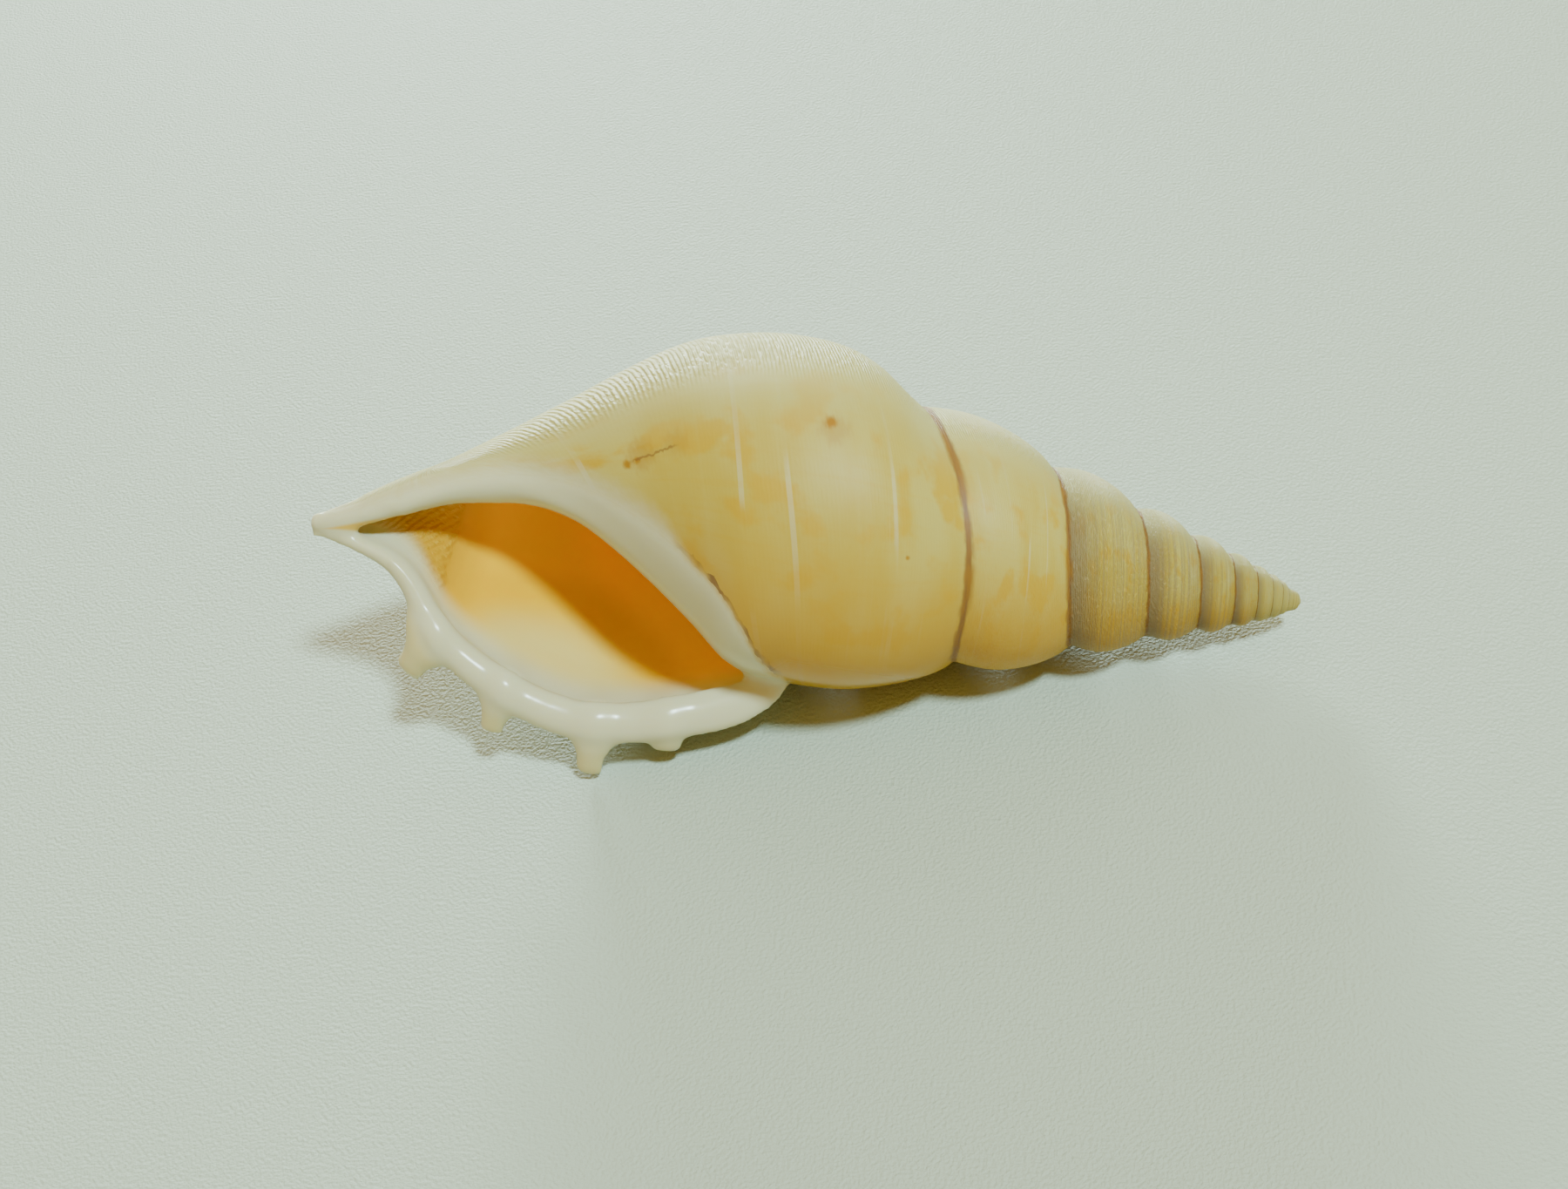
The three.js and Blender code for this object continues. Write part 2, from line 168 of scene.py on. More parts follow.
# The view: focal length in pixels of a picture 1800 wide, then in the shell's own frame the point
# that is looked at, the distance, and the slope of the axis in the picture
PICTURE_WIDTH = 1800
SENSOR = 36
FOCAL = 2750
VIEW_TARGET = (-72.4, -10.3, 0)
VIEW_DISTANCE = 339
VIEW_SLOPE = 0.157


def curve_through(points):
    """A smooth function through points, flat beyond its ends."""
    xs, ys = np.array(points, float).T
    slopes = np.gradient(ys, xs)
    slopes[1:-1] = (ys[2:] - ys[:-2]) / (xs[2:] - xs[:-2])

    def curve(x):
        i = np.clip(np.searchsorted(xs, x, side="right") - 1, 0, len(xs) - 2)
        h = xs[i + 1] - xs[i]
        t = np.clip((x - xs[i]) / h, 0, 1)
        bend = t * t * (3 - 2 * t)
        tilt = h * t * (1 - t) * ((1 - t) * slopes[i] - t * slopes[i + 1])
        return ys[i] + (ys[i + 1] - ys[i]) * bend + tilt

    return curve


def smooth_step(low, high, value):
    t = np.clip((value - low) / (high - low), 0, 1)
    return t * t * (3 - 2 * t)


before = curve_through(PROFILE_ONE_TURN_BEFORE)
half = curve_through(PROFILE_HALF_TURN_BEFORE)
lip = curve_through(PROFILE_AT_LIP)
bend_at = curve_through(BEND)
column_radius = curve_through(COLUMN)
wall_at = curve_through(WALL)
rim_line = curve_through(RIM_LINE)
rim_width = curve_through(RIM_WIDTH)
rim_thickness = curve_through(RIM_THICKNESS)
callus_line = curve_through(CALLUS_LINE)
finger_width = curve_through(FINGER_SHAPE)


def growth(turn):
    return GROWTH_PER_TURN**turn


def suture_at(turn):
    sag = np.where((turn > -1) & (turn < -0.5), SEAM_SAG * np.sin(2 * np.pi * (turn + 1)) ** 2, 0)
    return LIP_SUTURE * growth(turn) - sag


def angle_at(turn):
    return np.pi * (1 - 2 * turn)


def fullness(turn):
    blunt = BLUNTNESS * np.maximum(0, BLUNT_BEFORE - turn) ** 2
    return 1 + SPIRE_FULLNESS * (1 - np.exp(SPIRE_FADE * (turn + 0.5))) + blunt


def swell(turn, along):
    """The bulge of a young whorl between its seams, as a factor on its radius."""
    across = np.clip(np.log(along / suture_at(turn)) / math.log(GROWTH_PER_TURN), 0, 1)
    return 1 + SPIRE_SWELL * (1 - np.exp(SPIRE_FADE * (turn + 1))) * (np.sin(np.pi * across) - 0.6)


def whorl_radius(turn, along):
    """Radius of the outer surface at a stage of growth, without the lip's flare."""
    early = np.minimum(turn, -1)
    scale = growth(early + 1)
    young = scale * before(along / scale) * swell(early, along) * fullness(early) / fullness(-1)
    late = np.maximum(turn, -1)
    share = (along - suture_at(late)) / (LENGTH - suture_at(late))

    def alike(stage):
        return suture_at(stage) + share * (LENGTH - suture_at(stage))

    # in the last turn, a curve through the three outlines in the order that they grew
    grown = (
        2 * late * (late + 0.5) * before(alike(-1))
        - 4 * late * (late + 1) * half(alike(-0.5))
        + 2 * (late + 0.5) * (late + 1) * lip(alike(0))
    )
    return np.where(turn <= -1, young, grown)


def flare_at(along):
    return np.maximum(0, bend_at(along) - rim_line(along) - lip(along) + RIM_CENTRED)


def outer_radius(turn, along):
    turned = np.maximum(0, 1 + turn / FLARE_TURNS)
    return whorl_radius(turn, along) + flare_at(along) * turned**2


def callus(turn, along, radius):
    """The smooth layer beside the mouth on the last whorl: a thin sheet, and a roll along its edge."""
    y = bend_at(along) + radius * np.cos(angle_at(turn))
    from_edge = y - (bend_at(along) - radius)
    here = (turn < -0.6) * smooth_step(70, 76, along)
    sheet = SHEET * smooth_step(0, 1.6, callus_line(along) - y)
    roll = ROLL_HEIGHT * np.exp(-(((from_edge - ROLL_FROM_EDGE) / ROLL_WIDTH) ** 2))
    return here * (sheet + roll * smooth_step(72, 84, along))


def place(along, radius, angle):
    along, radius = np.asarray(along, float), np.asarray(radius, float)
    return np.stack([-along, bend_at(along) + radius * np.cos(angle), radius * np.sin(angle)], -1)


def grow(name, rings):
    """Grows a closed solid: a first ring is extruded stage by stage, and both its ends are filled."""
    bm = bmesh.new()
    verts = [bm.verts.new(p) for p in rings[0]]
    edges = [bm.edges.new((a, b)) for a, b in zip(verts, verts[1:] + verts[:1])]
    bmesh.ops.contextual_create(bm, geom=edges)
    for ring in rings[1:]:
        made = bmesh.ops.extrude_edge_only(bm, edges=edges)["geom"]
        new = {g for g in made if isinstance(g, bmesh.types.BMVert)}
        verts = [next(e.other_vert(v) for e in v.link_edges if e.other_vert(v) in new) for v in verts]
        for vert, p in zip(verts, ring):
            vert.co = p
        edges = [bm.edges.get((a, b)) for a, b in zip(verts, verts[1:] + verts[:1])]
    bmesh.ops.contextual_create(bm, geom=edges)
    bmesh.ops.triangulate(bm, faces=bm.faces[:])
    bmesh.ops.recalc_face_normals(bm, faces=bm.faces[:])
    mesh = bpy.data.meshes.new(name)
    bm.to_mesh(mesh)
    bm.free()
    piece = bpy.data.objects.new(name, mesh)
    bpy.context.scene.collection.objects.link(piece)
    return piece


def stretch(name, turns, section):
    """One stretch of growth: the section from the column out to the surface, turned about the axis."""
    return grow(name, [place(*section(turn), angle_at(turn)) for turn in turns])


# The first and last points of the next two sections lie inside the shell, so that the turns fuse.

def spire_section(turn, steps):
    start, following = suture_at(turn), suture_at(turn + 1)
    past = following + 0.04 * (following - start)
    outside = np.append(np.linspace(start, following, steps + 1), past)
    along = np.concatenate([[start * 0.94, start * 0.96], outside, [following * 1.02]])
    core = 0.03 * start
    tucked = 0.8 * whorl_radius(turn, start)
    return along, np.concatenate([[core, tucked], whorl_radius(turn, outside), [core]])


def body_section(turn):
    start, following = suture_at(turn), suture_at(turn + 1)
    whorl = np.linspace(start, following, WHORL_STEPS + 1)
    base = np.linspace(following, LENGTH, BASE_STEPS + 1)
    outside = np.concatenate([whorl, base[1:]])
    middle = np.linspace(LENGTH, 106, CORE_STEPS)
    along = np.concatenate([[start * 0.92, start * 0.96], outside, middle])
    surface = outer_radius(turn, outside)
    surface = np.maximum(surface + callus(turn, outside, surface), 0.8)
    tucked = 0.8 * whorl_radius(turn, start)
    return along, np.concatenate([[0.5, tucked], surface, np.full(CORE_STEPS, 0.5)])


def hollow_section(turn):
    """The hollow between the whorl before, which keeps a thin glaze, and the wall."""
    grown = min(turn, 0)
    shrink = math.sqrt(growth(grown))

    def inner(along):
        return whorl_radius(turn - 1, along) + GLAZE

    def outer(along):
        return outer_radius(grown, along) - wall_at(along) * shrink

    places = np.linspace(suture_at(grown), LENGTH - 3, 400)
    space = places[outer(places) - inner(places) > LEAST_GAP]
    inside = np.linspace(space[0], space[-1], HOLLOW_STEPS + 1)
    along = np.concatenate([inside, inside[-2:0:-1]])
    far = np.maximum(outer(inside), inner(inside) + LEAST_GAP)
    far[[0, -1]] = inner(inside[[0, -1]])
    return along, np.concatenate([far, inner(inside[-2:0:-1])])


def spans(first, last, steps):
    return [first + (last - first) * i / steps for i in range(steps + 1)]


def spire_pieces():
    """The spire in half turns. The youngest are small, so they take fewer steps."""
    pieces = []
    for i in range(int(2 * (-1 - FIRST_TURN))):
        begin = FIRST_TURN + i / 2
        share = 0.4 if begin < -5 else 0.7 if begin < -3 else 1
        turns = spans(begin, begin + 0.5, round(share * STEPS_PER_TURN / 2))
        steps = round(share * WHORL_STEPS)
        pieces.append(stretch("spire", turns, lambda turn: spire_section(turn, steps)))
    return pieces


def last_stages(first, steps):
    return spans(first, -FLARE_TURNS, steps) + spans(-FLARE_TURNS, 0, FLARE_STEPS)[1:]


def column_piece():
    apex = [0, 0.1, 0.25, 0.5, 0.8, 1.2, 1.6, 2, 2.4, 3.5]
    places = np.concatenate([apex, np.linspace(12, LENGTH - 1, 60)])
    rings = [place(np.full(len(AROUND), d), column_radius(d), AROUND) for d in places]
    return grow("column", rings)


def rim_piece():
    rings = []
    for along in np.linspace(RIM_LINE[0][0], RIM_LINE[-1][0], RIM_STEPS):
        slope = float(rim_line(along + 0.3) - rim_line(along - 0.3)) / 0.6
        outwards = -np.array([slope, 1]) / math.hypot(slope, 1)
        side = rim_width(along) * np.cos(AROUND)
        rings.append(np.stack([
            -along + outwards[0] * side, rim_line(along) + outwards[1] * side,
            rim_thickness(along) * np.sin(AROUND),
        ], -1))
    return grow("rim", rings)


def finger_piece(at, lean, reach, tip):
    """A finger: wide where it grows out of the rim, narrow in the middle, blunt at its tip."""
    lean = math.radians(lean)
    outwards = np.array([-math.sin(lean), -math.cos(lean)])
    across = np.array([-math.cos(lean), math.sin(lean)])
    rings = []
    for share in np.linspace(0, 1, FINGER_STEPS):
        middle = np.array([-at, rim_line(at)]) + outwards * share * reach
        wide = float(finger_width(share)) * tip
        deep = min(wide, tip * 1.2) * FINGER_THICKNESS
        flat = middle + np.outer(wide * np.cos(AROUND), across)
        drop = FINGER_DROP * reach * share**2
        rings.append(np.column_stack([flat, deep * np.sin(AROUND) - drop]))
    return grow("finger", rings)


def finished_mesh(solid):
    """The solid's mesh with its modifiers applied."""
    evaluated = solid.evaluated_get(bpy.context.evaluated_depsgraph_get())
    mesh = bpy.data.meshes.new_from_object(evaluated)
    solid.modifiers.clear()
    return mesh


def combine(base, pieces, operation):
    """Joins pieces to a base solid, or cuts them out of it, and removes them."""
    for piece in pieces:
        step = base.modifiers.new("step", "BOOLEAN")
        step.operation, step.solver, step.object = operation, "MANIFOLD", piece
        base.data = finished_mesh(base)
        bpy.data.objects.remove(piece)
    return base


def exact_shell():
    first = stretch("shell", spans(-1, -0.5, STEPS_PER_TURN // 2), body_section)
    last = stretch("last", last_stages(-0.5, 46), body_section)
    shell = combine(first, [last, *spire_pieces(), column_piece()], "UNION")
    hollow = stretch("hollow", last_stages(-HOLLOW_TURNS, 60) + [PAST_LIP], hollow_section)
    combine(shell, [hollow], "DIFFERENCE")
    return combine(shell, [rim_piece(), *(finger_piece(*f) for f in FINGERS)], "UNION")


def skin_of(solid):
    """One even skin over the solid, with its points set exactly on it."""
    tree = BVHTree.FromObject(solid, bpy.context.evaluated_depsgraph_get())
    remesh = solid.modifiers.new("skin", "REMESH")
    remesh.mode, remesh.voxel_size = "VOXEL", SKIN
    solid.data = finished_mesh(solid)
    for vert in solid.data.vertices:
        vert.co = tree.find_nearest(vert.co)[0]
    return solid


def coordinates(mesh):
    co = np.empty(3 * len(mesh.vertices))
    mesh.vertices.foreach_get("co", co)
    return co.reshape(-1, 3)


def smooth(bm, verts, factor, rounds):
    for _ in range(rounds):
        bmesh.ops.smooth_vert(
            bm, verts=verts, factor=factor, use_axis_x=True, use_axis_y=True, use_axis_z=True)


def smooth_joints(solid):
    """Softens the rim and the fingers where they grow out of the wall, then the whole skin a little."""
    co = coordinates(solid.data)
    along, beyond = -co[:, 0], rim_line(-co[:, 0]) - co[:, 1]
    bm = bmesh.new()
    bm.from_mesh(solid.data)
    bm.verts.ensure_lookup_table()
    for furthest, rounds in JOINT_ROUNDS:
        near = (along > RIM_START) & (along < RIM_END) & (beyond > JOINT_REACH) & (beyond < furthest)
        smooth(bm, [bm.verts[i] for i in np.flatnonzero(near)], JOINT_FACTOR, rounds)
    smooth(bm, bm.verts[:], SKIN_FACTOR, SKIN_ROUNDS)
    bm.to_mesh(solid.data)
    bm.free()


def raise_ridges(solid):
    """Lets each finger run on over the lip as a low ridge."""
    co = coordinates(solid.data)
    normals = np.empty(co.size)
    solid.data.vertex_normals.foreach_get("vector", normals)
    normals = normals.reshape(-1, 3)
    along, side = -co[:, 0], co[:, 1]
    ridges = np.zeros(len(co))
    for at, lean, _, tip in FINGERS:
        lean = math.radians(lean)
        beside = (along - at) * math.cos(lean) + (side - float(rim_line(at))) * math.sin(lean)
        ridges = np.maximum(ridges, 1 - smooth_step(0, RIDGE_WIDTH * tip, np.abs(beside)))
    beyond = rim_line(along) - side
    on_lip = smooth_step(*RIDGE_STARTS, beyond) * (1 - smooth_step(*RIDGE_ENDS, beyond))
    in_front = smooth_step(0, RIDGE_FACING, normals[:, 2]) * (along > RIM_START)
    co += normals * (RIDGE_HEIGHT * ridges * on_lip * in_front)[:, None]
    solid.data.vertices.foreach_set("co", co.ravel())
    solid.data.update()


def turn_outside(along, angle):
    """The stage of growth that a point of the outside belongs to."""
    phase = (1 - angle / np.pi) / 2 % 1 - 1
    turn = phase.copy()
    for _ in range(3 - FIRST_TURN):
        earlier = along < suture_at(turn)
        turn = np.where(earlier, turn - 1, turn)
    return turn, phase


def mark_zones(solid):
    """Stores where each point lies on the shell, for the colours and markings to read."""
    co = coordinates(solid.data)
    along = -co[:, 0]
    y, z = co[:, 1] - bend_at(along), co[:, 2]
    radius, angle = np.hypot(y, z), np.arctan2(z, y)
    turn, phase = turn_outside(along, angle)
    deep = smooth_step(0.9, 1.5, outer_radius(turn, along) - radius)
    within_callus = np.minimum(callus_line(along) - co[:, 1], 1.2 * (along - CALLUS_START))
    zones = {
        "inside": deep * (phase > -HOLLOW_TURNS) * (along > 60),
        "callus": np.where(z > 0, within_callus, -9),
        "under": -y / np.maximum(radius, 0.1),
        "below_edge": bend_at(along) - before(along) - co[:, 1],
        "beyond_rim": rim_line(along) - co[:, 1],
    }
    for name, values in zones.items():
        stored = solid.data.attributes.new(name, "FLOAT", "POINT")
        stored.data.foreach_set("value", np.ascontiguousarray(values, np.float32))


def own_to_world():
    """The turn and the shift that bring the shell's own frame to its resting pose, in millimetres."""
    dip = Matrix.Rotation(math.radians(DIP), 3, "Y")
    return dip @ Matrix.Rotation(math.radians(90 - ROLL), 3, "X"), Vector(SHIFT)


def lay_down(solid):
    """Turns the shell to its resting pose on the ground, in metres. What is below it is worn flat."""
    turned, shift = own_to_world()
    co = coordinates(solid.data) @ np.array(turned).T + np.array(shift)
    co[:, 2] = np.maximum(co[:, 2], 0)
    solid.data.vertices.foreach_set("co", (co / MM_PER_M).ravel())
    solid.data.update()


shell = skin_of(exact_shell())
smooth_joints(shell)
raise_ridges(shell)
mark_zones(shell)
lay_down(shell)
shell.data.shade_smooth()
shell.name = "conch_shell"
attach(shell, "root")
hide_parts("shell")


# Colours of the outside
CREAM = (0.44, 0.35, 0.05)
YELLOW = (0.47, 0.31, 0.01)  # patches and growth lines
LIP_SIDE_GOLD_AND_SHADE = (0.48, 0.27, 0.006)  # the side towards the lip: partly its own golden tone, partly painted warm shade
PALE = (0.47, 0.43, 0.12)  # bands, stripes and the apex
TOP_TONE_AND_LIGHT = (0.44, 0.44, 0.18)  # the side away from the lip: partly its own pale tone, partly painted light on the top
GREY = (0.22, 0.17, 0.09)  # the young whorls' lines
BROWN = (0.17, 0.085, 0.03)  # seam, crack and the edge of the smooth layer
RUST = (0.32, 0.15, 0.0)
WHITE = (0.53, 0.54, 0.36)  # lip, smooth layer and thin streaks
EDGE = (0.60, 0.50, 0.12)  # tips of the fingers

# Colours of the mouth, from the lip inwards, and of the canal
INNER_CREAM = (0.68, 0.56, 0.17)
GOLD = (0.74, 0.44, 0.0)
ORANGE = (0.92, 0.55, 0.0)
DEEP = (0.78, 0.50, 0.0)
GROOVE_GOLD = (0.62, 0.40, 0.03)

# Finish
SATIN, POLISHED = 0.5, 0.22  # roughness of the outside, and of the lip and the mouth
SHINE = 0.28
GLOW = 0.05  # light that comes through the wall into the mouth
LET_IN = 0.5  # share of the light that passes under the surface
LIGHT_REACH = 0.002  # how far it spreads there, in metres
LIGHT_REACH_BY_COLOUR = (1, 0.72, 0.34)
CORDS = 62  # fine cords across a whorl
CORD_STRENGTH, CORD_HEIGHT = 0.6, 0.0002

# Rusty spots on the last whorl, as (distance from the apex, y, radius, strength)
SPOTS = [
    (69.9, 13.2, 1.0, 1.0), (69.2, 12.2, 2.6, 0.35), (96.3, 3.9, 0.7, 0.9), (95.0, 4.6, 0.6, 0.8),
    (94.6, 5.4, 2.6, 0.4), (90, 7.6, 2.2, 0.25), (57, -3, 0.35, 0.9),
]
# Ends of a thin crack and of the canal's golden groove, as (distance from the apex, y)
SCAR = ((95.6, 4.4), (89.2, 7.6))
GROOVE = ((124, -8.3), (137.5, -11.1))
GROOVE_WIDTH = 1.8  # half width where it begins


def node_tree(material):
    material.use_nodes = True
    tree = material.node_tree
    tree.nodes.clear()
    return tree


def put(tree, node, name, value):
    socket = node.inputs[name]
    if isinstance(value, bpy.types.NodeSocket):
        tree.links.new(value, socket)
    else:
        socket.default_value = value


def add(tree, kind, **fields):
    node = tree.nodes.new(kind)
    for name, value in fields.items():
        setattr(node, name, value)
    return node


def finish(tree, surface):
    output = tree.nodes.new("ShaderNodeOutputMaterial")
    tree.links.new(surface.outputs[0], output.inputs[0])


def attribute(tree, name):
    return add(tree, "ShaderNodeAttribute", attribute_name=name).outputs["Fac"]


def math_node(tree, operation, a, b=0.0, c=0.0):
    node = add(tree, "ShaderNodeMath", operation=operation)
    for i, value in enumerate((a, b, c)):
        put(tree, node, i, value)
    return node.outputs[0]


def times(tree, *values):
    result = values[0]
    for value in values[1:]:
        result = math_node(tree, "MULTIPLY", result, value)
    return result


def ramp(tree, value, low, high):
    """A smooth mask: 0 at low, 1 at high, and flat beyond both."""
    node = add(tree, "ShaderNodeMapRange", interpolation_type="SMOOTHSTEP")
    put(tree, node, "Value", value)
    put(tree, node, "From Min", low)
    put(tree, node, "From Max", high)
    return node.outputs[0]


def mix(tree, mask, a, b):
    node = add(tree, "ShaderNodeMix", data_type="RGBA")
    put(tree, node, "Factor", mask)
    for i, value in ((6, a), (7, b)):
        put(tree, node, i, value if isinstance(value, bpy.types.NodeSocket) else (*value, 1))
    return node.outputs[2]


def lay(tree, colour, over, *masks):
    """Lays a colour over another as strongly as the masks say, multiplied."""
    return mix(tree, times(tree, *masks), colour, over)


def noise(tree, vector, scale, detail=2.0):
    node = tree.nodes.new("ShaderNodeTexNoise")
    put(tree, node, "Vector", vector)
    put(tree, node, "Scale", scale)
    put(tree, node, "Detail", detail)
    return node.outputs["Fac"]


def bump(tree, height, strength, distance):
    node = tree.nodes.new("ShaderNodeBump")
    put(tree, node, "Height", height)
    put(tree, node, "Strength", strength)
    put(tree, node, "Distance", distance)
    return node.outputs[0]


def own_place(tree):
    """A point's place in the shell's own frame, in millimetres, from its object coordinates."""
    turned, shift = own_to_world()
    back = turned.transposed()
    mapping = tree.nodes.new("ShaderNodeMapping")
    put(tree, mapping, "Vector", tree.nodes.new("ShaderNodeTexCoord").outputs["Object"])
    put(tree, mapping, "Location", -(back @ shift))
    put(tree, mapping, "Rotation", back.to_euler())
    put(tree, mapping, "Scale", (MM_PER_M, MM_PER_M, MM_PER_M))
    split = tree.nodes.new("ShaderNodeSeparateXYZ")
    tree.links.new(mapping.outputs[0], split.inputs[0])
    return split.outputs


def spiral_group():
    """Where a point lies on the spiral: how far across its whorl, 0 to 1, and its stage of growth."""
    tree = bpy.data.node_groups.new("spiral", "ShaderNodeTree")
    for name in ("across", "turn", "along", "side", "front"):
        tree.interface.new_socket(name, in_out="OUTPUT", socket_type="NodeSocketFloat")
    x, y, z = own_place(tree)
    along = math_node(tree, "MAXIMUM", math_node(tree, "MULTIPLY", x, -1), 0.5)
    angle = math_node(tree, "ARCTAN2", z, y)
    phase = math_node(tree, "FRACT", math_node(tree, "MULTIPLY_ADD", angle, -0.5 / math.pi, 0.5))

    # the last seam sags beside the mouth, as in suture_at
    wave = math_node(tree, "SINE", math_node(tree, "MULTIPLY", phase, math.tau))
    near = math_node(tree, "SUBTRACT", ramp(tree, along, 35, 46), ramp(tree, along, 62, 80))
    here = math_node(tree, "MULTIPLY", near, math_node(tree, "LESS_THAN", phase, 0.5))
    sag = math_node(tree, "MULTIPLY", math_node(tree, "MULTIPLY", wave, wave), here)
    lifted = math_node(tree, "MULTIPLY_ADD", sag, SEAM_SAG, along)

    relative = math_node(tree, "DIVIDE", lifted, LIP_SUTURE)
    size = math_node(tree, "LOGARITHM", relative, GROWTH_PER_TURN)
    spiral = math_node(tree, "SUBTRACT", size, phase)
    limited = math_node(tree, "MINIMUM", math_node(tree, "FLOOR", spiral), -1)
    across = math_node(tree, "SUBTRACT", spiral, limited)
    turn = math_node(tree, "ADD", limited, phase)
    output = tree.nodes.new("NodeGroupOutput")
    for name, value in (("across", across), ("turn", turn), ("along", along), ("side", y), ("front", z)):
        put(tree, output, name, value)
    return tree


def point_on_shell(tree):
    """What a material can ask about a point: its place on the spiral, and the zones of the mesh."""
    spiral = tree.nodes.new("ShaderNodeGroup")
    spiral.node_tree = spiral_group()
    places = {socket.name: socket for socket in spiral.outputs}
    names = ("inside", "callus", "under", "below_edge", "beyond_rim")
    return SimpleNamespace(**places, **{name: attribute(tree, name) for name in names})


def pattern(tree, point, fine, crossing, seed, detail=2):
    """Noise laid on the spiral: fine is its scale across a whorl, crossing its scale round it."""
    vector = tree.nodes.new("ShaderNodeCombineXYZ")
    put(tree, vector, 0, math_node(tree, "MULTIPLY", point.across, fine))
    put(tree, vector, 1, math_node(tree, "MULTIPLY", point.turn, crossing))
    put(tree, vector, 2, seed)
    return noise(tree, vector.outputs[0], 1, detail)


def body_colour(tree, point):
    """Cream and pale bands round the spiral, with faint stripes, warm patches and growth lines."""
    bands = ramp(tree, pattern(tree, point, 3.5, 6, 0), 0.36, 0.62)
    colour = lay(tree, CREAM, PALE, bands, 0.65)
    patches = ramp(tree, pattern(tree, point, 4.5, 17, 5, 4), 0.5, 0.64)
    colour = lay(tree, colour, YELLOW, patches, 0.8)
    stripes = ramp(tree, pattern(tree, point, 26, 2, 9, 1), 0.5, 0.8)
    colour = lay(tree, colour, PALE, stripes, 0.12)
    streaks = ramp(tree, pattern(tree, point, 26, 0.4, 30, 0), 0.69, 0.74)
    broken = ramp(tree, pattern(tree, point, 5, 9, 80), 0.4, 0.6)
    colour = lay(tree, colour, WHITE, streaks, broken, 0.4)
    growth_lines = ramp(tree, pattern(tree, point, 3, 130, 12), 0.5, 0.75)
    colour = lay(tree, colour, YELLOW, growth_lines, 0.18)
    # the side towards the lip turns golden: partly the shell's own tone, partly painted warm shade
    return lay(tree, colour, LIP_SIDE_GOLD_AND_SHADE, ramp(tree, point.under, -0.15, 0.9), 0.85)


def spire_colour(tree, point, colour):
    """The young whorls are closely lined and greyer towards the next seam, and the apex is pale."""
    young = ramp(tree, point.turn, -1.7, -2.9)
    lines = ramp(tree, pattern(tree, point, 40, 0.7, 3), 0.4, 0.62)
    colour = lay(tree, colour, GREY, lines, young, 0.5)
    colour = lay(tree, colour, GREY, ramp(tree, point.across, 0.55, 0.97), young, 0.9)
    return lay(tree, colour, PALE, ramp(tree, point.along, 9, 3), 0.7)


def seam_colour(tree, point, colour, uneven):
    """A brown line of uneven width along the seam."""
    from_seam = math_node(tree, "PINGPONG", point.across, 0.5)
    width = math_node(tree, "MULTIPLY_ADD", uneven, 0.035, 0.025)
    share = math_node(tree, "MINIMUM", math_node(tree, "DIVIDE", from_seam, width), 1)
    near_seam = math_node(tree, "SUBTRACT", 1.0, share)
    seam = times(tree, near_seam, ramp(tree, point.along, 71, 69))
    brown = lay(tree, BROWN, RUST, uneven, 0.5)
    return lay(tree, colour, brown, ramp(tree, seam, 0, 0.8), 0.95)


def stains(tree, point, colour):
    """A few rusty spots and a thin crack, ragged, on the side of the mouth."""
    ragged = pattern(tree, point, 60, 70, 70, 3)
    facing = ramp(tree, point.front, 0, 2)
    for at, y, size, strength in SPOTS:
        away = [math_node(tree, "POWER", math_node(tree, "SUBTRACT", value, middle), 2)
                for value, middle in ((point.along, at), (point.side, y))]
        distance = math_node(tree, "SQRT", math_node(tree, "ADD", *away))
        distance = math_node(tree, "MULTIPLY_ADD", ragged, size, distance)
        spot = ramp(tree, distance, 1.7 * size, 0.8 * size)
        colour = lay(tree, colour, RUST, spot, facing, strength)

    (begin, low), (end, high) = SCAR
    slope = (high - low) / (end - begin)
    on_line = math_node(tree, "MULTIPLY_ADD", point.along, slope, low - slope * begin)
    wander = math_node(tree, "MULTIPLY_ADD", ragged, 1.2, -0.6)
    off_line = math_node(tree, "SUBTRACT", point.side, math_node(tree, "ADD", on_line, wander))
    thin = ramp(tree, math_node(tree, "ABSOLUTE", off_line), 0.28, 0.08)
    ends = (ramp(tree, point.along, end, end + 1.5), ramp(tree, point.along, begin + 1, begin - 1))
    return lay(tree, colour, BROWN, thin, *ends, facing, 0.7)


def callus_colour(tree, point, colour, uneven):
    """The white layer beside the mouth, which ends in a thin brown line."""
    wander = math_node(tree, "MULTIPLY_ADD", pattern(tree, point, 25, 60, 50), 1.6, -0.8)
    from_edge = math_node(tree, "ADD", point.callus, wander)
    softness = math_node(tree, "MULTIPLY_ADD", ramp(tree, point.along, 84, 92), -3, -0.5)
    colour = lay(tree, colour, WHITE, ramp(tree, from_edge, softness, 1.6))
    line = math_node(tree, "COMPARE", from_edge, -0.1, 0.42)
    lined = times(tree, ramp(tree, point.along, 92, 82), ramp(tree, point.along, 70.5, 73))
    return lay(tree, colour, BROWN, line, lined, uneven, 0.9)


def mouth_colour(tree, point):
    """Cream near the lip, orange under the edge of the column, and gold at the canal."""
    below = point.below_edge
    colour = lay(tree, INNER_CREAM, GOLD, ramp(tree, below, 20.5, 13))
    colour = lay(tree, colour, ORANGE, ramp(tree, below, 11.5, 5.5))
    colour = lay(tree, colour, DEEP, ramp(tree, point.along, 98, 108), ramp(tree, below, 12, 6))
    return lay(tree, colour, GOLD, ramp(tree, point.along, 112, 122))


def lip_colour(tree, point, colour):
    """The white rim, with its fingers darker at their tips."""
    beyond, along = point.beyond_rim, point.along
    tips = lay(tree, WHITE, EDGE, ramp(tree, beyond, 2, 6), 0.4)
    masks = (
        ramp(tree, beyond, -6.5, -2.6), ramp(tree, along, 69.5, 71.5), ramp(tree, point.front, 6, 3.5))
    return lay(tree, colour, tips, *masks)


